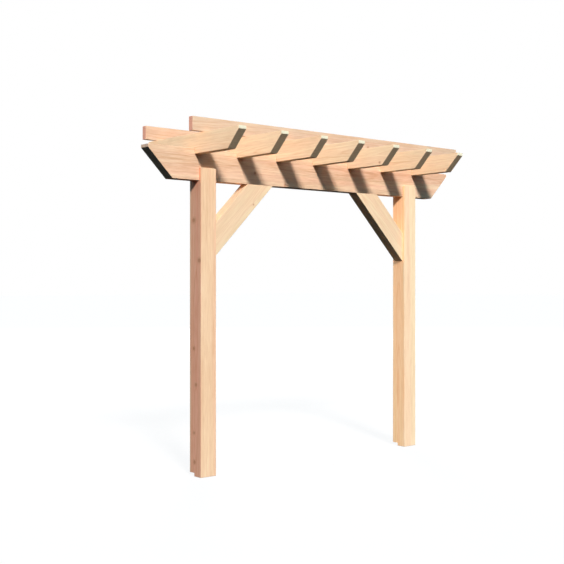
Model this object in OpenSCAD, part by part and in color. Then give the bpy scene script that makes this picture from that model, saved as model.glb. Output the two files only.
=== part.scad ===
// Two-post timber pergola arch: two housed posts, one long beam, seven notched rafters,
// two battens across the rafters and two corner braces.
// The origin is on the left post's axis at its sole. +X runs along the beam, +Y to the back.

/* [Overall] */
// Width across the outer faces of the two posts
outer_w = 2000; // [1400:10:3200]
// Height of the passage, from the ground to the underside of the beam
clear_h = 1880; // [1700:10:2600]

/* [Posts] */
// Side of the square posts
post_w = 120; // [100:1:150]
// Height of the two cheeks that stand beside the beam
cheek_h = 80; // [30:5:140]
// Height of the rebate behind each foot
foot_rebate_h = 22; // [10:1:60]
// Depth of the rebate behind each foot, from the post's back face
foot_rebate_d = 48; // [10:1:48]

/* [Beam] */
// Thickness of the beam
beam_t = 80; // [50:1:85]
// Height of the beam
beam_h = 200; // [150:5:240]
// Reach of the beam past each post's outer face
beam_over = 380; // [250:10:600]

/* [Rafters] */
// Thickness of each rafter
rafter_t = 60; // [40:1:90]
// Height of each rafter
rafter_h = 130; // [100:5:200]
// Reach of each rafter before and behind the beam
rafter_reach = 450; // [250:10:700]
// Depth of the notch that seats each rafter on the beam
notch_d = 35; // [15:1:60]
// How far the outermost rafters stand past the posts' outer faces
rafter_over = 33; // [0:1:100]

/* [Shaped ends] */
// Height of the upright nose above the sloping end cut of the beam and the rafters
nose_h = 20; // [5:1:60]

/* [Battens] */
// Thickness of each batten
batten_t = 38; // [20:1:60]
// Height of each batten
batten_h = 88; // [50:5:140]
// Reach of the battens past the left post's outer face
batten_left = 120; // [110:10:250]
// Distance from the rafters' front noses to the front batten
front_batten_inset = 352; // [0:1:400]
// Distance from the rafters' back noses to the back batten
back_batten_inset = 62; // [0:1:100]

/* [Braces] */
// Thickness of each brace
brace_t = 80; // [40:1:95]
// Height of the brace's section, across its length
brace_h = 150; // [80:5:200]
// Length of the brace's outer side along the post and along the beam
brace_leg = 488; // [300:5:540]

/* [Fit] */
// Clearance on each side of the beam in the housings and in the notches
joint_gap = 0.5; // [0:0.1:2]

/* [Hidden] */
rafter_count = 7;
// How far a cutting block runs past the face that it cuts
past = 1;
// Distance between the axes of the two posts
pitch = outer_w - post_w;
post_h = clear_h + cheek_h;
beam_top = clear_h + beam_h;
beam_left = -post_w / 2 - beam_over;
beam_right = pitch + post_w / 2 + beam_over;
housing_w = beam_t + 2 * joint_gap;
// The rafters run equally far before and behind the beam
rafter_end = beam_t / 2 + rafter_reach;
rafter_z = beam_top - notch_d;
rafter_top = rafter_z + rafter_h;
rafter_first = -post_w / 2 - rafter_over + rafter_t / 2;
rafter_spacing = (pitch - 2 * rafter_first) / (rafter_count - 1);
front_batten_y = -rafter_end + front_batten_inset;
back_batten_y = rafter_end - back_batten_inset - batten_t;
batten_from = -post_w / 2 - batten_left;
// Length of the brace's inner side along the post and along the beam
brace_inner = brace_leg - brace_h * sqrt(2);

// Side view of a timber with an upright nose and a 45 degree undercut at both ends
module shaped_profile(from, to, height) {
    cut = height - nose_h;
    polygon([
        [from + cut, 0],
        [to - cut, 0],
        [to, cut],
        [to, height],
        [from, height],
        [from, cut],
    ]);
}

// Square post, housed at its head for the beam and rebated behind its foot
module post() {
    difference() {
        translate([-post_w / 2, -post_w / 2, 0])
            cube([post_w, post_w, post_h]);
        translate([-post_w / 2 - past, -housing_w / 2, clear_h])
            cube([post_w + 2 * past, housing_w, cheek_h + past]);
        translate([-post_w / 2 - past, post_w / 2 - foot_rebate_d, -past])
            cube([post_w + 2 * past, foot_rebate_d + past, foot_rebate_h + past]);
    }
}

// Rafter seen from the side, with the notch that sits over the beam
module rafter() {
    difference() {
        rotate([90, 0, 90])
            linear_extrude(rafter_t, center = true)
                shaped_profile(-rafter_end, rafter_end, rafter_h);
        translate([-rafter_t / 2 - past, -housing_w / 2, -past])
            cube([rafter_t + 2 * past, housing_w, notch_d + past]);
    }
}

module placed_rafter(index) {
    color("#ecc49a")
        translate([rafter_first + index * rafter_spacing, 0, rafter_z])
            rafter();
}

module batten(front_y) {
    color("#efcba3")
        translate([batten_from, front_y, rafter_top])
            cube([beam_right - batten_from, batten_t, batten_h]);
}

// Corner brace between the left post's inner face and the underside of the beam
module brace() {
    translate([post_w / 2, brace_t / 2, clear_h])
        rotate([90, 0, 0])
            linear_extrude(brace_t)
                polygon([
                    [0, -brace_leg],
                    [brace_leg, 0],
                    [brace_inner, 0],
                    [0, -brace_inner],
                ]);
}

module left_post() {
    color("#e9bd92") post();
}

module right_post() {
    color("#f0caa0")
        translate([pitch, 0, 0])
            post();
}

module main_beam() {
    color("#f0c79d")
        translate([0, beam_t / 2, clear_h])
            rotate([90, 0, 0])
                linear_extrude(beam_t)
                    shaped_profile(beam_left, beam_right, beam_h);
}

module rafter_1() { placed_rafter(0); }
module rafter_2() { placed_rafter(1); }
module rafter_3() { placed_rafter(2); }
module rafter_4() { placed_rafter(3); }
module rafter_5() { placed_rafter(4); }
module rafter_6() { placed_rafter(5); }
module rafter_7() { placed_rafter(6); }
module front_batten() { batten(front_batten_y); }
module back_batten() { batten(back_batten_y); }

module left_brace() {
    color("#f2d2ab") brace();
}

module right_brace() {
    color("#f2d2ab")
        translate([pitch, 0, 0])
            mirror([1, 0, 0])
                brace();
}

left_post();
right_post();
main_beam();
rafter_1();
rafter_2();
rafter_3();
rafter_4();
rafter_5();
rafter_6();
rafter_7();
front_batten();
back_batten();
left_brace();
right_brace();
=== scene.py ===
"""A garden arch of sawn softwood, finished around its packed solids.

Each timber is cut from a block as a carpenter would cut it, has its arrises eased and stands for the
solid that it is named after. Screws and coach screws are added where they would be driven, and every
timber gets a wood of its own, with growth rings, knots and end grain that run through it from face to
face.
"""

import math
import random

import bmesh
import bpy
from bpy.props import FloatProperty, FloatVectorProperty, IntProperty, PointerProperty
from mathutils import Matrix, Vector


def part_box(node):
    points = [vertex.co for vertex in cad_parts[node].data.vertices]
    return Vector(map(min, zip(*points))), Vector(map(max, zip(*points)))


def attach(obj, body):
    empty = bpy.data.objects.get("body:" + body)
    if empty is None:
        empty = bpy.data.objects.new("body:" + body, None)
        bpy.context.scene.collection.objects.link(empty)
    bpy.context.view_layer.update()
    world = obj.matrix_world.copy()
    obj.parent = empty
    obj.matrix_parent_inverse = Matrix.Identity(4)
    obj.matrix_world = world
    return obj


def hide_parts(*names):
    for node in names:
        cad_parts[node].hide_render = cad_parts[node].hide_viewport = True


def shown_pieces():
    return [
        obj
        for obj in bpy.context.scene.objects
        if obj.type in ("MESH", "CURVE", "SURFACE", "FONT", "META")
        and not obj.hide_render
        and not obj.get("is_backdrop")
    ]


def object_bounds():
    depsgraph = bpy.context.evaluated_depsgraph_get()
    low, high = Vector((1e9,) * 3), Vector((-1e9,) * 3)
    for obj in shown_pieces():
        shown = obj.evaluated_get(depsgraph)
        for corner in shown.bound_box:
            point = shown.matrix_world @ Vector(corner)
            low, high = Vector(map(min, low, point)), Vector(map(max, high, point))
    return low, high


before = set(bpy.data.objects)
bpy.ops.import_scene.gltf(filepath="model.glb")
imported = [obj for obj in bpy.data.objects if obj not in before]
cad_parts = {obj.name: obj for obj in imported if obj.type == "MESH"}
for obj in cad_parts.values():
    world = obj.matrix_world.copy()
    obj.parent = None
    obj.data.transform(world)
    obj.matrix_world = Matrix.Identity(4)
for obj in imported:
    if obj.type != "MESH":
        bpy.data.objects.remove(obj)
CAD_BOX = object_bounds()

bl_info = {
    "name": "Timber Pergola Arch",
    "version": (1, 0, 0),
    "blender": (4, 5, 0),
    "location": "3D View > Sidebar > Pergola",
    "description": "Builds a two-post timber arch with its wood, screws and studio",
    "category": "Object",
}

BODY = "root"
X, Y, Z = 0, 1, 2
EAST = Vector((1, 0, 0))
NORTH = Vector((0, 1, 0))
UP = Vector((0, 0, 1))
RAFTERS = sorted(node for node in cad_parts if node.startswith("rafter_"))

# The faces round a round piece, and the lobes of a screw's recess.
ROUND = 24
LOBES = 6

# Where the rafters' random draws start.
RAFTER_SEED = 31

# Faces of a timber that meet at less than the first angle lie in one plane, and its edges sharper than
# the second are eased. Faces of a fixing that meet at less than the third are shaded as one.
FLAT_UNDER = math.radians(1)
SHARP_OVER = math.radians(30)
SMOOTH_UNDER = math.radians(20)

WHITE = (1.0, 1.0, 1.0)


# Properties


def size(name, description, default):
    """A size that a user may change."""
    return FloatProperty(
        name=name, description=description, default=default, min=0.0, precision=4, unit="LENGTH"
    )


def share(name, description, default, highest=1.0):
    """A plain number from nothing to its highest."""
    return FloatProperty(name=name, description=description, default=default, min=0.0, max=highest)


def tone(name, description, default):
    """A colour that a user may change."""
    return FloatVectorProperty(
        name=name, description=description, default=default, size=3, min=0.0, max=1.0, subtype="COLOR"
    )


class PergolaTimber(bpy.types.PropertyGroup):
    """What all the timbers share."""

    arris: size("Arris", "Width of the eased arris along each edge", 0.002)
    arris_steps: IntProperty(
        name="Arris Steps", description="Faces across an eased arris", default=3, min=1, max=6
    )
    ring: size("Ring Width", "Usual width of one year's growth", 0.0032)
    latewood: share("Latewood", "How strongly the dark part of each ring shows", 0.5)
    streaks: share("Streaks", "How much lengthwise streaks change the brightness", 0.20)
    dashes: share("Dashes", "How much short dark dashes change the brightness", 0.36)
    patches: share("Patches", "How much broad patches change the brightness", 0.16)
    fibres: share("Fibres", "How much fine fibres change the brightness", 0.10)


class PergolaLeftPostWood(bpy.types.PropertyGroup):
    """Wood of the left post."""

    sapwood: tone("Sapwood", "Outer wood of the left post", (0.985, 0.657, 0.418))
    heartwood: tone("Heartwood", "Inner wood, which shows on the left face", (1.0, 0.50, 0.32))
    end_grain: tone("End Grain", "Sawn ends", (0.80, 0.60, 0.38))
    figure: share("Figure", "How strongly the grain of the left post shows", 1.1, 3.0)
    tint: share("Tint", "How much rosy and straw-coloured bands differ", 0.9)


class PergolaRightPostWood(bpy.types.PropertyGroup):
    """Wood of the right post."""

    sapwood: tone("Sapwood", "Outer wood of the right post", (0.95, 0.717, 0.473))
    heartwood: tone("Heartwood", "Inner wood, which shows on the left face", (1.0, 0.63, 0.35))
    end_grain: tone("End Grain", "Sawn ends", (0.82, 0.62, 0.40))
    figure: share("Figure", "How strongly the grain of the right post shows", 0.9, 3.0)
    tint: share("Tint", "How much rosy and straw-coloured bands differ", 0.9)


class PergolaBeamWood(bpy.types.PropertyGroup):
    """Wood of the long beam."""

    sapwood: tone("Sapwood", "Outer wood of the beam", (0.95, 0.64, 0.43))
    heartwood: tone("Heartwood", "Inner wood of the beam", (0.87, 0.56, 0.37))
    end_grain: tone("End Grain", "Sawn noses", (1.0, 0.66, 0.46))
    # The sloped cuts face down and get a darker tone than the square noses: end grain with painted shade.
    slope_cut_with_painted_shade: tone("Slope Cut", "Sloped cuts under the noses", (0.60, 0.44, 0.31))
    figure: share("Figure", "How strongly the grain of the beam shows", 1.7, 3.0)
    tint: share("Tint", "How much rosy and straw-coloured bands differ", 1.0)


class PergolaRafterWood(bpy.types.PropertyGroup):
    """Wood of the rafters."""

    sapwood: tone("Sapwood", "Outer wood of the rafters", (0.96, 0.68, 0.43))
    heartwood: tone("Heartwood", "Inner wood of the rafters", (0.955, 0.65, 0.405))
    end_grain: tone("End Grain", "Sawn noses", (1.0, 0.91, 0.66))
    # The sloped cuts face down and get a darker tone than the cream square noses: end grain with painted
    # shade.
    slope_cut_with_painted_shade: tone("Slope Cut", "Sloped cuts under the noses", (0.94, 0.68, 0.43))
    figure: share("Figure", "How strongly the grain of the rafters shows", 1.0, 3.0)
    tint: share("Tint", "How much rosy and straw-coloured bands differ", 0.5)


class PergolaBattenWood(bpy.types.PropertyGroup):
    """Wood of the battens."""

    sapwood: tone("Sapwood", "Outer wood of the battens", (0.82, 0.56, 0.38))
    heartwood: tone("Heartwood", "Inner wood of the battens", (0.79, 0.51, 0.335))
    end_grain: tone("End Grain", "Sawn ends", (0.73, 0.345, 0.24))
    figure: share("Figure", "How strongly the grain of the battens shows", 1.0, 3.0)
    tint: share("Tint", "How much rosy and straw-coloured bands differ", 0.6)


class PergolaBraceWood(bpy.types.PropertyGroup):
    """Wood of the braces."""

    sapwood: tone("Sapwood", "Outer wood of the braces", (0.975, 0.715, 0.46))
    heartwood: tone("Heartwood", "Inner wood of the braces", (0.90, 0.64, 0.41))
    end_grain: tone("End Grain", "Sawn ends", (0.80, 0.60, 0.38))
    figure: share("Figure", "How strongly the grain of the braces shows", 0.65, 3.0)
    tint: share("Tint", "How much rosy and straw-coloured bands differ", 0.6)


class PergolaFixings(bpy.types.PropertyGroup):
    """Screws and washers, in their real sizes."""

    washer_head: size("Washer Head", "Width of the heads that hold the rafters to the beam", 0.022)
    small_head: size("Small Head", "Width of the heads in the battens and braces", 0.0145)
    recess: size("Recess", "Width of the driver's recess in a head", 0.0075)
    rim: size("Rim", "Thickness of a head at its edge", 0.0016)
    dome: size("Dome", "Rise of a head from its edge to its middle", 0.0012)
    hexagon: size("Hexagon", "Width across the flats of a coach screw's head", 0.017)
    hexagon_thick: size("Hexagon Thickness", "Thickness of a coach screw's head", 0.0055)
    washer: size("Washer", "Width of the washer under a coach screw's head", 0.030)
    washer_thick: size("Washer Thickness", "Thickness of that washer", 0.0025)
    pocket: size("Pocket", "Width of the bores that sink the heads in the battens", 0.020)
    pocket_deep: size("Pocket Depth", "Depth of those bores", 0.006)
    stagger: size("Stagger", "How far each rafter screw stands off the rafter's middle line", 0.014)
    joint_gap: size("Joint Distance", "Distance of a brace's screws from its joint", 0.030)
    steel: tone("Steel", "Zinc-coated steel", (0.62, 0.62, 0.60))


class PergolaStage(bpy.types.PropertyGroup):
    """Camera, lamps and floor."""

    camera_place: FloatVectorProperty(
        name="Camera Place",
        description="Where the camera stands, from the left post's foot",
        default=(-3.8166, -5.2651, 1.2367),
        size=3,
        subtype="XYZ",
        unit="LENGTH",
    )
    camera_heading: FloatVectorProperty(
        name="Camera Heading",
        description="Level direction in which the camera looks",
        default=(0.648, 0.7616, 0.0),
        size=3,
        subtype="DIRECTION",
    )
    lens: FloatProperty(
        name="Lens", description="Focal length on the sensor of 36 mm, in mm", default=64.77, min=1.0
    )
    key_power: share("Key Power", "Strength of the key lamp", 3.58, 20.0)
    key_angle: share("Key Angle", "Apparent width of the key lamp, in degrees", 9.0, 90.0)
    side_power: share("Side Power", "Strength of the lamp on the roof's left", 1.10, 20.0)
    left_post_power: share("Left Post Power", "Strength of the left post's side lamp", 0.124, 20.0)
    right_post_power: share("Right Post Power", "Strength of the right post's side lamp", 1.344, 20.0)
    back_power: share("Back Power", "Strength of the lamp behind", 1.7, 20.0)
    sky: share("Sky", "Strength of the sky's light", 0.36)
    sky_low: share("Sky at the Horizon", "Factor on the sky's light at the horizon", 0.05, 4.0)
    sky_high: share("Sky Overhead", "Factor on the sky's light overhead", 2.6, 4.0)
    sky_tone: tone("Sky Tone", "Colour of the sky's light", (0.38, 0.72, 1.0))
    floor: tone("Floor", "Colour that the floor throws back on the object", (0.015, 0.015, 0.015))
    floor_shadow: share("Floor Shadow", "How much of a shadow the floor keeps", 0.10)


# Finishes


class Signal:
    """One output of a node. Arithmetic on it adds Math nodes to the same tree."""

    def __init__(self, nodes, socket):
        self.nodes = nodes
        self.socket = socket

    def also(self, name):
        """Another output of the same node."""
        return Signal(self.nodes, self.socket.node.outputs[name])

    def maths(self, operation, *values):
        """The result of a Math node on this signal and the values after it."""
        return self.nodes.maths(operation, self, *values)

    def __add__(self, other):
        return self.maths("ADD", other)

    def __radd__(self, other):
        return self.nodes.maths("ADD", other, self)

    def __sub__(self, other):
        return self.maths("SUBTRACT", other)

    def __rsub__(self, other):
        return self.nodes.maths("SUBTRACT", other, self)

    def __mul__(self, other):
        return self.maths("MULTIPLY", other)

    def __rmul__(self, other):
        return self.nodes.maths("MULTIPLY", other, self)

    def __truediv__(self, other):
        return self.maths("DIVIDE", other)

    def __rtruediv__(self, other):
        return self.nodes.maths("DIVIDE", other, self)

    def __pow__(self, other):
        return self.maths("POWER", other)

    def __abs__(self):
        return self.maths("ABSOLUTE")


class Nodes:
    """A tree of nodes, to which every node is added by one method."""

    def __init__(self, tree):
        self.tree = tree

    def node(self, kind, settings=None, sockets=None, output=0):
        """Adds a node: its settings first, then the values or links of its sockets. Gives one output."""
        made = self.tree.nodes.new(kind)
        for key, value in (settings or {}).items():
            if key == "stops":
                while len(made.color_ramp.elements) < len(value):
                    made.color_ramp.elements.new(1.0)
                for stop, (place, level) in zip(made.color_ramp.elements, value):
                    stop.position = place
                    stop.color = (level, level, level, 1.0)
            else:
                setattr(made, key, value)
        for key, value in (sockets or {}).items():
            self.set(made, key, value)
        return Signal(self, made.outputs[output])

    def set(self, made, key, value):
        """Links a signal to a node's socket, or sets the socket's own value."""
        socket = made.inputs[key]
        if isinstance(value, Signal):
            self.tree.links.new(value.socket, socket)
        elif socket.type == "RGBA":
            socket.default_value = (*value[:3], 1.0)
        else:
            socket.default_value = value

    def maths(self, operation, *values):
        """The result of a Math node."""
        return self.node("ShaderNodeMath", {"operation": operation}, dict(enumerate(values)))

    def out(self, kind, signal):
        """Sends a signal to the surface of the tree's own output node."""
        self.set(self.tree.nodes[kind], "Surface", signal)


class Finish(Nodes):
    """A material and the helpers that its nodes are made with."""

    def __init__(self, name):
        self.material = bpy.data.materials.new(name)
        self.material.use_nodes = True
        super().__init__(self.material.node_tree)
        self.shader = self.tree.nodes["Principled BSDF"]

    def step(self, value, low, high):
        """0 below low, 1 above high and smooth between them. With low above high it falls instead."""
        return self.node(
            "ShaderNodeMapRange",
            {"interpolation_type": "SMOOTHSTEP"},
            {"Value": value, "From Min": low, "From Max": high},
        )

    def vector(self, operation, *values, output=0):
        """The result of a Vector Math node."""
        return self.node("ShaderNodeVectorMath", {"operation": operation}, dict(enumerate(values)), output)

    def mix(self, factor, first, second, kind="MIX"):
        """Two colours mixed by a factor. 6 and 7 are a Mix node's colours, and 2 is its colour output."""
        return self.node(
            "ShaderNodeMix", {"data_type": "RGBA", "blend_type": kind}, {0: factor, 6: first, 7: second}, 2
        )

    def noise(self, place, scale, shift, detail=2.0, roughness=0.5):
        """Noise whose three scales are in waves to the metre."""
        stretched = self.vector("MULTIPLY_ADD", place, scale, shift)
        return self.node(
            "ShaderNodeTexNoise",
            {},
            {"Vector": stretched, "Scale": 1.0, "Detail": detail, "Roughness": roughness},
        )

    def surface(self, **sockets):
        """Sets or links the shader's own sockets, with _ for a space in their names. Gives the material."""
        for key, value in sockets.items():
            self.set(self.shader, key.replace("_", " "), value)
        return self.material


# Factors that tint the wood's colour.
ROSY = (1.0, 0.92, 0.90)
STRAW = (1.0, 1.01, 0.98)
LATE = (0.86, 0.70, 0.58)
SAWN_LATE = (0.80, 0.66, 0.52)

# Colours of what lies in the wood, and how much of each shows.
KNOT = (0.54, 0.20, 0.09)
KNOT_SHOWS = 0.70
KNOT_RIM = (0.64, 0.28, 0.15)
KNOT_RIM_SHOWS = 0.35
CRACK = (0.22, 0.13, 0.08)
CRACK_SHOWS = 0.6
END_RINGS_SHOW = 0.35

# How dark the wood is through one year: pale early wood, then a narrow dark line of late wood.
YEAR = [(0.0, 0.25), (0.12, 0.0), (0.5, 0.12), (0.86, 1.0), (1.0, 0.25)]

# How far the pith wanders and the rings ripple, in metres, and how much the stem tapers over its length.
WANDER = 0.030
RIPPLE = 0.004
TAPER = 0.004

# Half the width of the change from heartwood to sapwood, in metres.
HEART_EDGE = 0.003

# A knot's least reach, what chance may add to it, and its distance from the pith where it is round, in
# metres, and where its own edge and its rim's lie, as shares of its reach.
KNOT_LEAST = 0.005
KNOT_MORE = 0.006
KNOT_ROUND_AT = 0.14
KNOT_EDGE = (1.15, 0.6)
KNOT_RIM_EDGE = 2.2

# How far the rings swell at a knot, in metres, and how fast that fades, to the square metre.
SWIRL = 0.004
SWIRL_FADES = 4500.0

# Noise in the wood, in waves to the metre along the grain and across it.
DRIFT = (0.9, 3.0)
RIPPLES = (3.0, 30.0)
STREAKS = (1.6, 55.0)
FIBRES = (22.0, 900.0)
BANDS = (0.35, 19.0)
PATCHES = (1.1, 9.0)
DASHES = (11.0, 120.0)

# Cracks to the radian round the pith, and their breaks to the metre out from it.
CRACKS_ROUND = 90.0
CRACKS_OUT = 12.0

# Where smooth steps begin and end: from plain wood to a crack, from a rosy band to a straw-coloured one,
# from a long face to a sawn end, from a sloped end with its painted shade to a square one, and from a face
# that branches come out of to one beside them.
CRACK_STEP = (0.72, 0.76)
BAND_STEP = (0.35, 0.65)
END_STEP = (0.55, 0.65)
SQUARE_STEP = (0.75, 0.95)
BESIDE_STEP = (0.8, 0.6)

# Roughness of plain wood, and how much fibres and sawn ends add to it and knots take off.
ROUGHNESS = 0.66
FIBRE_ROUGHENS = 0.12
END_ROUGHENS = 0.12
KNOT_SMOOTHS = 0.15

# Relief, in metres.
LATE_RELIEF = 0.0001
FIBRE_RELIEF = 0.00022
STREAK_RELIEF = 0.0002
CRACK_RELIEF = 0.0006
KNOT_RELIEF = 0.0002

# The powers that make darker wood warmer, so that its red falls least and its blue most.
RED_POWER = 0.6
BLUE_POWER = 1.3


class Wood(Finish):
    """Sawn softwood. Its grain runs along one direction; pith is the stem's middle, as a distance across
    the timber and one through it, and heart the radius inside which the wood is heartwood. Knots is the
    share of the branches that show, cell their usual spacing and knot_size how large they are."""

    def __init__(
        self, name, tones, centre, along, across, pith, heart, seed, knots=0.4, cell=0.24, knot_size=1.0
    ):
        super().__init__(name)
        dice = random.Random(seed)
        self.shift = [dice.uniform(-50, 50) for _ in range(3)]
        self.timber = bpy.context.scene.pergola_timber
        self.tones = tones
        through = along.cross(across)
        facing = self.node("ShaderNodeNewGeometry", output="Normal")
        self.endwise = abs(self.vector("DOT_PRODUCT", facing, along, output="Value"))
        self.squarely = abs(self.vector("DOT_PRODUCT", facing, through, output="Value"))
        self.find_stem(centre, Matrix((along, across, through)).transposed().to_euler(), pith)
        self.grow_knots(knots, cell, knot_size)
        self.grow_rings()
        self.streak = self.grain(*STREAKS, detail=3.0, roughness=0.6)
        self.fibre = self.grain(*FIBRES)
        self.crack = self.split()
        end_mask = self.step(self.endwise, *END_STEP)
        depth = (
            self.late * LATE_RELIEF
            + self.fibre * FIBRE_RELIEF
            + self.streak * STREAK_RELIEF
            - self.crack * end_mask * CRACK_RELIEF
            - self.knot * KNOT_RELIEF
        )
        self.surface(
            Base_Color=self.mix(end_mask, self.colour_faces(heart), self.colour_ends()),
            Roughness=ROUGHNESS
            + self.fibre * FIBRE_ROUGHENS
            + end_mask * END_ROUGHENS
            - self.knot * KNOT_SMOOTHS,
            Normal=self.node("ShaderNodeBump", {}, {"Height": depth, "Distance": 1.0, "Strength": 0.7}),
            Specular_IOR_Level=0.25,
        )

    def grain(self, along, across, detail=2.0, roughness=0.5):
        """Noise on the timber, in waves to the metre along the grain and across it."""
        return self.noise(self.board, (along, across, across), self.shift, detail, roughness)

    def find_stem(self, centre, turn, pith):
        """Gives every point its place in the stem: along it, out from the pith and round the pith."""
        place = self.node("ShaderNodeTexCoord", output="Object")
        self.board = self.node(
            "ShaderNodeMapping",
            {"vector_type": "TEXTURE"},
            {"Vector": place, "Location": centre, "Rotation": turn},
        )
        drift = self.grain(*DRIFT, detail=1.0).also("Color")
        bent = self.vector("MULTIPLY_ADD", drift, (0.0, WANDER, WANDER), self.board)
        self.length = self.node("ShaderNodeSeparateXYZ", {}, {0: bent}, "X")
        rise = self.length.also("Y") - pith[0] - WANDER / 2
        depth = self.length.also("Z") - pith[1] - WANDER / 2
        self.radius = (rise * rise + depth * depth) ** 0.5
        self.angle = rise.maths("ARCTAN2", abs(depth))

    def grow_knots(self, knots, cell, knot_size):
        """Knots are branches from the pith, wider further out. They show on the faces that they come out
        of, but not on those that they run beside, and the rings swell round them."""
        # Half a cell more puts the middle of a row straight out from the pith to the face.
        row = self.angle * (KNOT_ROUND_AT / cell) + round(self.shift[1]) + 0.5
        column = self.length / cell + self.shift[0]
        branch = self.node("ShaderNodeCombineXYZ", {}, {0: column, 1: row, 2: 0.0})
        spot = self.node(
            "ShaderNodeTexVoronoi",
            {"voronoi_dimensions": "2D"},
            {"Vector": branch, "Scale": 1.0, "Randomness": 0.7},
        )
        chance = self.node("ShaderNodeSeparateColor", {}, {0: spot.also("Color")}, "Red")
        missing = self.step(chance.also("Green"), knots, knots + 0.02)
        beside = self.step(self.squarely, *BESIDE_STEP)
        away = spot * cell + missing * cell + beside * cell
        reach = chance * (KNOT_MORE * knot_size) + KNOT_LEAST * knot_size
        self.knot = self.step(away, reach * KNOT_EDGE[0], reach * KNOT_EDGE[1])
        self.knot_rim = self.step(away, reach * KNOT_RIM_EDGE, reach) * (1.0 - self.knot)
        self.swirl = SWIRL / (away * away * SWIRL_FADES + 1.0)

    def grow_rings(self):
        """A ring for each year, rippled, and swollen round knots."""
        self.ripple = self.grain(*RIPPLES, detail=3.0)
        grown = self.radius + self.swirl + self.ripple * RIPPLE + self.length * TAPER
        year = (grown / self.timber.ring).maths("FRACT")
        self.late = self.node("ShaderNodeValToRGB", {"stops": YEAR}, {"Fac": year})

    def split(self):
        """Short cracks that run out from the pith."""
        fan = self.node(
            "ShaderNodeCombineXYZ", {}, {0: self.angle * CRACKS_ROUND, 1: self.radius * CRACKS_OUT, 2: 0.0}
        )
        rays = self.node(
            "ShaderNodeTexNoise", {"noise_dimensions": "2D"}, {"Vector": fan, "Scale": 1.0, "Detail": 1.0}
        )
        return self.step(rays, *CRACK_STEP)

    def colour_faces(self, heart):
        """Sapwood and heartwood with their rings, rosy and straw-coloured bands, streaks and knots."""
        tones = self.tones
        outer = self.radius + self.ripple * (2 * RIPPLE) - RIPPLE
        heart_mask = self.step(outer, heart + HEART_EDGE, heart - HEART_EDGE)
        base = self.mix(heart_mask, tones.sapwood, tones.heartwood)
        dark = self.mix(1.0, base, LATE, "MULTIPLY")
        ringed = self.mix(self.late * (self.timber.latewood * min(tones.figure, 1.0)), base, dark)
        band = self.grain(*BANDS, detail=1.0)
        tint = self.mix(self.step(band, *BAND_STEP), ROSY, STRAW)
        tinted = self.mix(1.0, ringed, tint, "MULTIPLY")
        grain = self.mix(tones.tint, ringed, tinted)
        patch = self.grain(*PATCHES, detail=1.0)
        dash = self.grain(*DASHES, roughness=0.6)
        level = (
            1.0
            + (self.streak - 0.5) * (2.0 * self.timber.streaks * tones.figure)
            + (patch - 0.5) * (self.timber.patches * tones.figure)
            + (dash - 0.5) * (self.timber.dashes * tones.figure)
            + (self.fibre - 0.5) * self.timber.fibres
        )
        warmth = self.node("ShaderNodeCombineXYZ", {}, {0: level**RED_POWER, 1: level, 2: level**BLUE_POWER})
        toned = self.mix(1.0, grain, warmth, "MULTIPLY")
        rimmed = self.mix(self.knot_rim * KNOT_RIM_SHOWS, toned, KNOT_RIM)
        return self.mix(self.knot * KNOT_SHOWS, rimmed, KNOT)

    def colour_ends(self):
        """Sawn ends with their rings and cracks. Sloped cuts may have a tone of their own, darker than the
        square ends: end grain with painted shade where they face down.
        """
        square = self.step(self.endwise, *SQUARE_STEP)
        # Faces cut on a slope take the sloped-cut tone, which holds painted shade. Square ends keep the
        # end-grain tone.
        sloped = getattr(self.tones, "slope_cut_with_painted_shade", self.tones.end_grain)
        sawn = self.mix(square, sloped, self.tones.end_grain)
        dark = self.mix(1.0, sawn, SAWN_LATE, "MULTIPLY")
        ringed = self.mix(self.late * END_RINGS_SHOW, sawn, dark)
        return self.mix(self.crack * CRACK_SHOWS, ringed, CRACK)


# Clouds and spangles of the zinc, to the metre.
CLOUDS = 240.0
SPANGLES = 900.0


def zinc(name, colour):
    """Zinc-coated steel, a little clouded."""
    finish = Finish(name)
    place = finish.node("ShaderNodeTexCoord", output="Object")
    cloud = finish.noise(place, (CLOUDS, CLOUDS, CLOUDS), (0.0, 0.0, 0.0), detail=3.0)
    spangle = finish.node("ShaderNodeTexVoronoi", {}, {"Vector": place, "Scale": SPANGLES})
    return finish.surface(
        Base_Color=finish.mix(1.0, colour, 0.82 + cloud * 0.3, "MULTIPLY"),
        Roughness=0.30 + cloud * 0.20 + spangle * 0.08,
        Normal=finish.node(
            "ShaderNodeBump", {}, {"Height": cloud * 0.0001, "Distance": 1.0, "Strength": 0.6}
        ),
        Metallic=1.0,
    )


# Carpentry


def levels(node, axis):
    """The distinct places of a solid's corners along one axis, lowest first."""
    return sorted({round(corner.co[axis], 5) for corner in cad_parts[node].data.vertices})


def start_block(name, low, high):
    """Adds a block between two corners, with its place in its mesh, and opens it for cutting."""
    low = Vector(low)
    high = Vector(high)
    bpy.ops.object.select_all(action="DESELECT")
    bpy.ops.mesh.primitive_cube_add(size=1, location=(low + high) / 2, scale=high - low)
    block = bpy.context.active_object
    block.name = name
    block.data.name = name
    bpy.ops.object.transform_apply(location=True, rotation=True, scale=True)
    bpy.ops.object.mode_set(mode="EDIT")
    return block


def pick_faces(test):
    """Selects only the faces whose middle and normal pass the test."""
    mesh = bpy.context.active_object.data
    bpy.ops.mesh.select_mode(type="FACE")
    bpy.ops.mesh.select_all(action="DESELECT")
    for face in bmesh.from_edit_mesh(mesh).faces:
        if test(face.calc_center_median(), face.normal):
            face.select_set(True)
    bmesh.update_edit_mesh(mesh)


def looks_up(spot, normal):
    """Whether a face looks up."""
    return normal.z > 0.5


def looks_down(spot, normal):
    """Whether a face looks down."""
    return normal.z < -0.5


def score(point, normal, test):
    """Marks a cut line across the faces that pass the test."""
    pick_faces(test)
    bpy.ops.mesh.bisect(plane_co=point, plane_no=normal)


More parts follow.
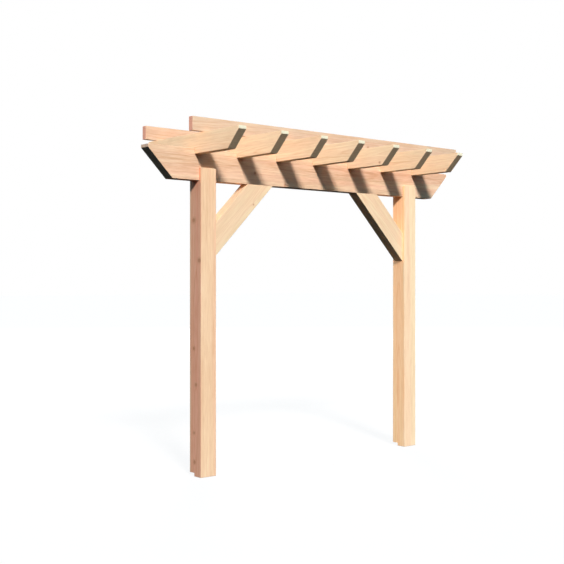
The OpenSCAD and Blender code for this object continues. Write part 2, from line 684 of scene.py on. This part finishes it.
def saw(point, outward):
    """Saws off all that lies outside a plane and closes the cut."""
    bpy.ops.mesh.select_mode(type="FACE")
    bpy.ops.mesh.select_all(action="SELECT")
    bpy.ops.mesh.bisect(plane_co=point, plane_no=outward, use_fill=True, clear_outer=True)


def grow(test, shift):
    """Draws the faces that pass the test out by a shift."""
    pick_faces(test)
    bpy.ops.mesh.extrude_region_move(TRANSFORM_OT_translate={"value": shift})


def ease_arrises(piece):
    """Closes the edit, joins faces that lie in one plane and rounds every sharp edge a little."""
    timber = bpy.context.scene.pergola_timber
    bpy.ops.mesh.select_all(action="SELECT")
    bpy.ops.mesh.dissolve_limited(angle_limit=FLAT_UNDER)
    bpy.ops.mesh.normals_make_consistent(inside=False)
    bpy.ops.object.mode_set(mode="OBJECT")
    easing = piece.modifiers.new("Eased arrises", "BEVEL")
    easing.width = timber.arris
    easing.segments = timber.arris_steps
    easing.limit_method = "ANGLE"
    easing.angle_limit = SHARP_OVER
    easing.harden_normals = True
    bpy.ops.object.shade_smooth()
    bpy.ops.object.modifier_apply(modifier=easing.name)
    return piece


def only_select(piece):
    """Makes a piece the only one selected."""
    bpy.ops.object.select_all(action="DESELECT")
    piece.select_set(True)
    bpy.context.view_layer.objects.active = piece


def copy_piece(piece, name, shift=(0, 0, 0), turn=(0, 0, 0)):
    """Copies a piece with a mesh of its own, turns it about the origin and shifts it."""
    only_select(piece)
    bpy.ops.object.duplicate(linked=False)
    twin = bpy.context.active_object
    twin.name = name
    twin.data.name = name
    twin.rotation_euler = turn
    twin.location = shift
    bpy.ops.object.transform_apply(location=True, rotation=True, scale=False)
    return twin


def fit(piece, node, finish):
    """Puts a finished timber in the place of its solid."""
    piece.data.materials.clear()
    piece.data.materials.append(finish.material)
    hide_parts(node)
    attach(piece, BODY)


def middle(node):
    """The middle of a solid's box."""
    low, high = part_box(node)
    return (low + high) / 2


class PERGOLA_OT_posts(bpy.types.Operator):
    """Cuts both posts, with the open housing at the top and the rebate at the foot"""

    bl_idname = "pergola.posts"
    bl_label = "Posts"

    def execute(self, context):
        left, right = levels("left_post", X)
        front, housing_front, rebate, housing_back, back = levels("left_post", Y)
        sole, rebate_top, seat, top = levels("left_post", Z)
        post = start_block("left_post_timber", (left, front, rebate_top), (right, back, seat))
        score((0, rebate, 0), NORTH, looks_down)
        grow(
            lambda spot, normal: looks_down(spot, normal) and spot.y < rebate,
            (0, 0, sole - rebate_top),
        )
        score((0, housing_front, 0), NORTH, looks_up)
        score((0, housing_back, 0), NORTH, looks_up)
        grow(
            lambda spot, normal: looks_up(spot, normal) and not housing_front < spot.y < housing_back,
            (0, 0, top - seat),
        )
        ease_arrises(post)
        twin = copy_piece(post, "right_post_timber", middle("right_post") - middle("left_post"))
        scene = context.scene
        pith = (0.0, 0.2)
        fit(post, "left_post", Wood(
            "Left post wood", scene.pergola_left_post, middle("left_post"), UP, NORTH, pith,
            heart=0.152, seed=103, knots=1.0, cell=0.25, knot_size=1.6))
        fit(twin, "right_post", Wood(
            "Right post wood", scene.pergola_right_post, middle("right_post"), UP, NORTH, pith,
            heart=0.150, seed=12))
        return {"FINISHED"}


class PERGOLA_OT_beam(bpy.types.Operator):
    """Cuts the long beam with its sloped ends"""

    bl_idname = "pergola.beam"
    bl_label = "Beam"

    def execute(self, context):
        low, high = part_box("main_beam")
        nose = levels("main_beam", Z)[1]
        beam = start_block("main_beam_timber", low, high)
        saw((low.x, 0, nose), (-1, 0, -1))
        saw((high.x, 0, nose), (1, 0, -1))
        ease_arrises(beam)
        fit(beam, "main_beam", Wood(
            "Beam wood", context.scene.pergola_beam, middle("main_beam"), EAST, UP, (0.03, -0.09),
            heart=0.138, seed=200))
        return {"FINISHED"}


class PERGOLA_OT_rafters(bpy.types.Operator):
    """Cuts one rafter, notched over the beam and sloped at both ends, and copies it along the beam"""

    bl_idname = "pergola.rafters"
    bl_label = "Rafters"

    def execute(self, context):
        first = RAFTERS[0]
        low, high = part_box(first)
        bottom, notch_top, nose = levels(first, Z)[:3]
        notch_front, notch_back = levels(first, Y)[2:4]
        rafter = start_block(first + "_timber", (low.x, low.y, notch_top), high)
        score((0, notch_front, 0), NORTH, looks_down)
        score((0, notch_back, 0), NORTH, looks_down)
        grow(
            lambda spot, normal: looks_down(spot, normal) and not notch_front < spot.y < notch_back,
            (0, 0, bottom - notch_top),
        )
        saw((0, low.y, nose), (0, -1, -1))
        saw((0, high.y, nose), (0, 1, -1))
        ease_arrises(rafter)
        timbers = {first: rafter}
        for node in RAFTERS[1:]:
            timbers[node] = copy_piece(rafter, node + "_timber", middle(node) - middle(first))
        tones = context.scene.pergola_rafter
        # Each is sawn from another place in a stem, to the left or right of its pith.
        dice = random.Random(RAFTER_SEED)
        for number, node in enumerate(RAFTERS, 1):
            pith = (dice.uniform(-0.05, 0.05), dice.choice((-1, 1)) * dice.uniform(0.09, 0.16))
            heart = abs(pith[1]) - dice.uniform(0.0, 0.04)
            fit(timbers[node], node, Wood(
                f"Rafter {number} wood", tones, middle(node), NORTH, UP, pith,
                heart, seed=RAFTER_SEED + number, knots=0.15))
        return {"FINISHED"}


class PERGOLA_OT_battens(bpy.types.Operator):
    """Cuts the batten at the front and copies it to the back"""

    bl_idname = "pergola.battens"
    bl_label = "Battens"

    def execute(self, context):
        low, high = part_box("front_batten")
        front = start_block("front_batten_timber", low, high)
        bore(front, [(middle(node).x, middle("front_batten").y, high.z) for node in RAFTERS])
        ease_arrises(front)
        back = copy_piece(front, "back_batten_timber", middle("back_batten") - middle("front_batten"))
        tones = context.scene.pergola_batten
        fit(front, "front_batten", Wood(
            "Front batten wood", tones, middle("front_batten"), EAST, UP, (0.03, -0.10),
            heart=0.085, seed=51))
        fit(back, "back_batten", Wood(
            "Back batten wood", tones, middle("back_batten"), EAST, UP, (-0.05, -0.12),
            heart=0.100, seed=52))
        return {"FINISHED"}


class PERGOLA_OT_braces(bpy.types.Operator):
    """Cuts the left brace at 45 degrees and turns a copy of it into the right one"""

    bl_idname = "pergola.braces"
    bl_label = "Braces"

    def execute(self, context):
        low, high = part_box("left_brace")
        inner = levels("left_brace", X)[1]
        brace = start_block("left_brace_timber", low, high)
        saw((low.x, 0, low.z), (1, 0, -1))
        saw((inner, 0, high.z), (-1, 0, 1))
        ease_arrises(brace)
        arch = middle("left_post") + middle("right_post")
        twin = copy_piece(brace, "right_brace_timber", (arch.x, arch.y, 0), (0, 0, math.pi))
        tones = context.scene.pergola_brace
        rising = (EAST + UP).normalized()
        falling = (UP - EAST).normalized()
        fit(brace, "left_brace", Wood(
            "Left brace wood", tones, middle("left_brace"), rising, falling, (0.02, -0.11),
            heart=0.07, seed=61, knots=1.0))
        fit(twin, "right_brace", Wood(
            "Right brace wood", tones, middle("right_brace"), falling, -rising, (-0.03, -0.12),
            heart=0.07, seed=62, knots=0.5))
        return {"FINISHED"}


def start_drum(name, sides, width, low, high):
    """Adds a short upright drum on the origin between two heights and opens it with its top picked."""
    bpy.ops.object.select_all(action="DESELECT")
    bpy.ops.mesh.primitive_cylinder_add(
        vertices=sides, radius=width / 2, depth=high - low, location=(0, 0, (low + high) / 2)
    )
    drum = bpy.context.active_object
    drum.name = name
    bpy.ops.object.transform_apply(location=True, rotation=True, scale=True)
    bpy.ops.object.mode_set(mode="EDIT")
    pick_faces(looks_up)
    return drum


def bore(piece, spots):
    """Bores a round pocket for a sunk screw head at each spot of a timber's top."""
    fixings = bpy.context.scene.pergola_fixings
    bpy.ops.object.mode_set(mode="OBJECT")
    drill = start_drum("drill", ROUND, fixings.pocket, -fixings.pocket_deep, fixings.pocket_deep)
    bpy.ops.object.mode_set(mode="OBJECT")
    drills = drive(drill, "drills", spots, UP)
    boring = piece.modifiers.new("Pockets", "BOOLEAN")
    boring.operation = "DIFFERENCE"
    boring.object = drills
    only_select(piece)
    bpy.ops.object.modifier_apply(modifier=boring.name)
    bpy.data.objects.remove(drill)
    bpy.data.objects.remove(drills)
    bpy.ops.object.mode_set(mode="EDIT")


# A head's flat middle has a radius of this share of the head's width.
HEAD_FLAT = 0.3

# Corners within this share of the recess's width belong to the recess, and those between its lobes keep
# this share of their distance from the middle.
RECESS_REACH = 0.52
LOBE_WAIST = 0.78


def model_head(name, width, fixings):
    """A timber screw's round head, which rises towards its flat middle, with a six-lobed recess."""
    flat = width * HEAD_FLAT
    sunk = fixings.rim + fixings.dome / 2
    head = start_drum(name, ROUND, width, 0.0, fixings.rim)
    bpy.ops.mesh.inset(thickness=width / 2 - flat)
    bpy.ops.transform.translate(value=(0, 0, fixings.dome))
    bpy.ops.mesh.inset(thickness=flat - fixings.recess / 2)
    bpy.ops.mesh.extrude_region_move(TRANSFORM_OT_translate={"value": (0, 0, -sunk)})

    # The recess's corners between the lobes are drawn in towards the middle.
    mesh = bmesh.from_edit_mesh(head.data)
    bpy.ops.mesh.select_mode(type="VERT")
    bpy.ops.mesh.select_all(action="DESELECT")
    for corner in mesh.verts:
        turn = math.atan2(corner.co.y, corner.co.x)
        if corner.co.xy.length < fixings.recess * RECESS_REACH and math.cos(LOBES * turn) < 0:
            corner.select_set(True)
    bmesh.update_edit_mesh(head.data)
    bpy.ops.transform.resize(value=(LOBE_WAIST, LOBE_WAIST, 1.0), center_override=(0, 0, 0))
    bpy.ops.object.mode_set(mode="OBJECT")
    bpy.ops.object.shade_smooth_by_angle(angle=SMOOTH_UNDER)
    return head


def model_coach_screw(name, fixings):
    """A hexagon head with a chamfered top on a round washer."""
    washer_chamfer = fixings.washer_thick / 4
    head_chamfer = fixings.hexagon_thick / 4
    across_corners = fixings.hexagon * 2 / math.sqrt(3)
    top = fixings.washer_thick + fixings.hexagon_thick
    washer = start_drum(name, ROUND, fixings.washer, 0.0, fixings.washer_thick)
    bpy.ops.mesh.inset(thickness=washer_chamfer)
    bpy.ops.transform.translate(value=(0, 0, washer_chamfer / 2))
    bpy.ops.object.mode_set(mode="OBJECT")
    start_drum("hexagon", 6, across_corners, fixings.washer_thick, top)
    bpy.ops.mesh.inset(thickness=head_chamfer)
    bpy.ops.transform.translate(value=(0, 0, head_chamfer * 2 / 3))
    bpy.ops.object.mode_set(mode="OBJECT")
    washer.select_set(True)
    bpy.context.view_layer.objects.active = washer
    bpy.ops.object.join()
    bpy.ops.object.shade_smooth_by_angle(angle=SMOOTH_UNDER)
    return washer


def drive(pattern, name, spots, outward):
    """Copies a head to every spot, facing outward, and joins the copies into one piece."""
    turn = Vector(outward).to_track_quat("Z", "X").to_euler()
    heads = [copy_piece(pattern, f"{name}_{number}", spot, turn) for number, spot in enumerate(spots)]
    only_select(heads[0])
    for head in heads:
        head.select_set(True)
    bpy.ops.object.join()
    heads[0].name = name
    heads[0].data.name = name
    return heads[0]


class PERGOLA_OT_fixings(bpy.types.Operator):
    """Drives the screws into the rafters' and battens' tops and the braces' and posts' backs"""

    bl_idname = "pergola.fixings"
    bl_label = "Fixings"

    def execute(self, context):
        fixings = context.scene.pergola_fixings
        large = model_head("large_head", fixings.washer_head, fixings)
        small = model_head("small_head", fixings.small_head, fixings)
        coach = model_coach_screw("coach_screw", fixings)
        pieces = [
            drive(large, "rafter_screws", self.rafter_spots(fixings), UP),
            drive(small, "batten_screws", self.batten_spots(fixings), UP),
            drive(small, "brace_screws", self.brace_spots(fixings), NORTH),
            drive(coach, "post_coach_screws", self.post_spots(), NORTH),
        ]
        for pattern in (large, small, coach):
            bpy.data.objects.remove(pattern)
        finish = zinc("Zinc-coated steel", fixings.steel)
        for piece in pieces:
            piece.data.materials.clear()
            piece.data.materials.append(finish)
            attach(piece, BODY)
        return {"FINISHED"}

    def rafter_spots(self, fixings):
        """Two through each rafter into the beam, on a slant to the grain."""
        off_middle = levels("main_beam", Y)[-1] / 2
        for node in RAFTERS:
            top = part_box(node)[1].z
            for side in (-1, 1):
                yield middle(node).x + side * fixings.stagger, side * off_middle, top

    def batten_spots(self, fixings):
        """One sunk in each batten over every rafter."""
        for batten in ("front_batten", "back_batten"):
            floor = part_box(batten)[1].z - fixings.pocket_deep
            for node in RAFTERS:
                yield middle(node).x, middle(batten).y, floor

    def brace_spots(self, fixings):
        """Two on the back at each end of each brace, in a line beside the joint."""
        low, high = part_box("left_brace")
        cut = high.x - levels("left_brace", X)[1]
        arch = middle("left_post").x + middle("right_post").x
        x_low = low.x + fixings.joint_gap
        z_high = high.z - fixings.joint_gap
        for share_of_cut in (0.25, 0.7):
            z_low = low.z + fixings.joint_gap + cut * share_of_cut
            x_high = high.x - fixings.joint_gap - cut * share_of_cut
            for x, z in ((x_low, z_low), (x_high, z_high)):
                yield x, high.y, z
                yield arch - x, high.y, z

    def post_spots(self):
        """Two coach screws from behind through each post's back cheek into the beam."""
        for node in ("left_post", "right_post"):
            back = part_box(node)[1].y
            seat, top = levels(node, Z)[-2:]
            spread = (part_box(node)[1].x - middle(node).x) / 2
            rise = (top - seat) / 4
            yield middle(node).x - spread, back, seat + rise
            yield middle(node).x + spread, back, top - rise


# Stage

# The sensor's width in millimetres, the floor's side and how far it lies below the feet in metres, and
# the tone of that share of the floor that takes the shadow.
SENSOR = 36.0
FLOOR_SIDE = 160.0
FLOOR_GAP = 0.0005
SHADED_FLOOR = (1.0, 0.90, 0.84)

# The side lamps' and back lamp's widths and their distances from the arch's middle, in metres.
SIDE_WIDTH = 3.0
SIDE_AWAY = 25.0
BACK_WIDTH = 5.0
BACK_AWAY = 20.0

# Directions in which the lamps shine.
KEY = (0.605, 1.31, -1.0)
ROOF_SIDE = (1.0, 0.0, -0.04)
POST_SIDE = (2.0, 0.81, -0.62)
BACK = (-0.75, -1.0, -0.3)


def aim(thing, direction):
    """Points a lamp or camera along a direction."""
    thing.rotation_euler = Vector(direction).to_track_quat("-Z", "Y").to_euler()


def gather(name, things):
    """A collection of pieces that a lamp lights or is stopped by."""
    members = bpy.data.collections.new(name)
    for thing in things:
        members.objects.link(thing)
    return members


def share_light(lamp, lights, stopped_by):
    """Lets a lamp light only some pieces and be stopped only by some."""
    if lights is not None:
        lamp.light_linking.receiver_collection = gather(lamp.name + "_lights", lights)
    if stopped_by is not None:
        lamp.light_linking.blocker_collection = gather(lamp.name + "_stopped_by", stopped_by)


def sun(name, direction, power, angle, lights=None, stopped_by=None):
    """Adds a distant lamp that shines along a direction."""
    bpy.ops.object.light_add(type="SUN")
    lamp = bpy.context.active_object
    lamp.name = name
    lamp.data.energy = power
    lamp.data.angle = math.radians(angle)
    aim(lamp, direction)
    share_light(lamp, lights, stopped_by)


def softbox(name, direction, power, width, distance, lights=None, stopped_by=None):
    """Adds a broad round lamp, which is as strong at the arch as a distant lamp of that power."""
    heading = Vector(direction).normalized()
    middle_of_arch = (CAD_BOX[0] + CAD_BOX[1]) / 2
    bpy.ops.object.light_add(type="AREA", location=middle_of_arch - heading * distance)
    lamp = bpy.context.active_object
    lamp.name = name
    lamp.data.shape = "DISK"
    lamp.data.size = width
    lamp.data.energy = power * math.pi * distance**2
    aim(lamp, heading)
    share_light(lamp, lights, stopped_by)


class PERGOLA_OT_stage(bpy.types.Operator):
    """Sets the camera, the lamps, the sky and the floor"""

    bl_idname = "pergola.stage"
    bl_label = "Stage"

    def execute(self, context):
        scene = context.scene
        stage = scene.pergola_stage
        scene.view_settings.view_transform = "Standard"
        bpy.ops.object.camera_add(location=stage.camera_place)
        camera = context.active_object
        camera.name = "camera"
        camera.data.sensor_width = SENSOR
        camera.data.lens = stage.lens
        aim(camera, stage.camera_heading)
        scene.camera = camera

        bpy.ops.object.select_all(action="DESELECT")
        bpy.ops.mesh.primitive_plane_add(size=FLOOR_SIDE, location=(0, 0, CAD_BOX[0].z - FLOOR_GAP))
        floor = context.active_object
        floor.name = "floor"
        bpy.ops.object.transform_apply(location=True, rotation=True, scale=True)
        floor.data.materials.append(self.floor_finish(stage))
        floor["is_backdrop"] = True
        self.hang_lamps(stage)
        self.light_sky(scene, stage)
        return {"FINISHED"}

    def hang_lamps(self, stage):
        """The key comes from the front left. Frame and roof each get their own, so that the rafters'
        shadows stay on the beam. Softboxes open up the left faces of the roof and of each post, and one
        lights the backs."""
        shown = {piece.name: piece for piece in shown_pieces()}
        posts_and_braces = [piece for name, piece in shown.items() if "post" in name or "brace" in name]
        rafters = [piece for name, piece in shown.items() if "rafter" in name]
        battens = [piece for name, piece in shown.items() if "batten" in name]
        beam = [shown["main_beam_timber"]]
        floor = [bpy.data.objects["floor"]]
        sun("key_on_frame", KEY, stage.key_power, stage.key_angle,
            lights=posts_and_braces, stopped_by=posts_and_braces + beam)
        sun("key_on_roof", KEY, stage.key_power, stage.key_angle,
            lights=rafters + battens + beam + floor, stopped_by=posts_and_braces + beam + rafters)
        softbox("roof_side_lamp", ROOF_SIDE, stage.side_power, SIDE_WIDTH, SIDE_AWAY,
                lights=rafters + battens, stopped_by=beam)
        softbox("left_post_lamp", POST_SIDE, stage.left_post_power, SIDE_WIDTH, SIDE_AWAY,
                lights=[shown["left_post_timber"]], stopped_by=beam)
        softbox("right_post_lamp", POST_SIDE, stage.right_post_power, SIDE_WIDTH, SIDE_AWAY,
                lights=[shown["right_post_timber"]], stopped_by=beam)
        softbox("back_lamp", BACK, stage.back_power, BACK_WIDTH, BACK_AWAY)

    def floor_finish(self, stage):
        """White to the eye but for a faint shadow, and dull to the light that it throws back."""
        finish = Finish("Floor")
        path = finish.node("ShaderNodeLightPath", output="Is Camera Ray")
        finish.surface(Base_Color=stage.floor, Roughness=1.0, Specular_IOR_Level=0.0)
        pale = finish.node("ShaderNodeBsdfDiffuse", {}, {"Color": SHADED_FLOOR})
        white = finish.node("ShaderNodeEmission", {}, {"Color": WHITE, "Strength": 1.0})
        seen = finish.node("ShaderNodeMixShader", {}, {0: stage.floor_shadow, 1: white, 2: pale})
        dull = Signal(finish, finish.shader.outputs[0])
        both = finish.node("ShaderNodeMixShader", {}, {0: path, 1: dull, 2: seen})
        finish.out("Material Output", both)
        return finish.material

    def light_sky(self, scene, stage):
        """A sky that is stronger overhead, and that the eye and mirrors see as plain white."""
        world = bpy.data.worlds.new("Sky")
        scene.world = world
        world.use_nodes = True
        sky = Nodes(world.node_tree)
        path = sky.node("ShaderNodeLightPath", output="Is Camera Ray")
        seen = path.maths("MAXIMUM", path.also("Is Glossy Ray"))
        seen = seen.maths("MAXIMUM", path.also("Is Transmission Ray"))
        around = sky.node("ShaderNodeTexCoord", output="Generated")
        height = sky.node("ShaderNodeSeparateXYZ", {}, {0: around}, "Z")
        above = height.maths("MAXIMUM", 0.0)
        level = above * (stage.sky * (stage.sky_high - stage.sky_low)) + stage.sky * stage.sky_low
        lit = sky.node("ShaderNodeBackground", {}, {"Color": stage.sky_tone, "Strength": level})
        white = sky.node("ShaderNodeBackground", {}, {"Color": WHITE, "Strength": 1.0})
        sky.out("World Output", sky.node("ShaderNodeMixShader", {}, {0: seen, 1: lit, 2: white}))


class PERGOLA_PT_panel(bpy.types.Panel):
    """Lists the arch's pieces and stage in the sidebar"""

    bl_label = "Pergola Arch"
    bl_space_type = "VIEW_3D"
    bl_region_type = "UI"
    bl_category = "Pergola"

    def draw(self, context):
        for operator in OPERATORS:
            self.layout.operator(operator.bl_idname)
        for name, kind in SETTINGS.items():
            box = self.layout.box()
            box.label(text=kind.__doc__)
            for key in kind.__annotations__:
                box.prop(getattr(context.scene, name), key)


SETTINGS = {
    "pergola_timber": PergolaTimber,
    "pergola_left_post": PergolaLeftPostWood,
    "pergola_right_post": PergolaRightPostWood,
    "pergola_beam": PergolaBeamWood,
    "pergola_rafter": PergolaRafterWood,
    "pergola_batten": PergolaBattenWood,
    "pergola_brace": PergolaBraceWood,
    "pergola_fixings": PergolaFixings,
    "pergola_stage": PergolaStage,
}
OPERATORS = (
    PERGOLA_OT_posts,
    PERGOLA_OT_beam,
    PERGOLA_OT_rafters,
    PERGOLA_OT_battens,
    PERGOLA_OT_braces,
    PERGOLA_OT_fixings,
    PERGOLA_OT_stage,
)
CLASSES = (*SETTINGS.values(), *OPERATORS, PERGOLA_PT_panel)


def register():
    for kind in CLASSES:
        bpy.utils.register_class(kind)
    for name, kind in SETTINGS.items():
        setattr(bpy.types.Scene, name, PointerProperty(type=kind))


def unregister():
    for name in SETTINGS:
        delattr(bpy.types.Scene, name)
    for kind in reversed(CLASSES):
        bpy.utils.unregister_class(kind)


def main():
    register()
    bpy.ops.pergola.posts()
    bpy.ops.pergola.beam()
    bpy.ops.pergola.rafters()
    bpy.ops.pergola.battens()
    bpy.ops.pergola.braces()
    bpy.ops.pergola.fixings()
    bpy.ops.pergola.stage()


if __name__ == "__main__":
    main()
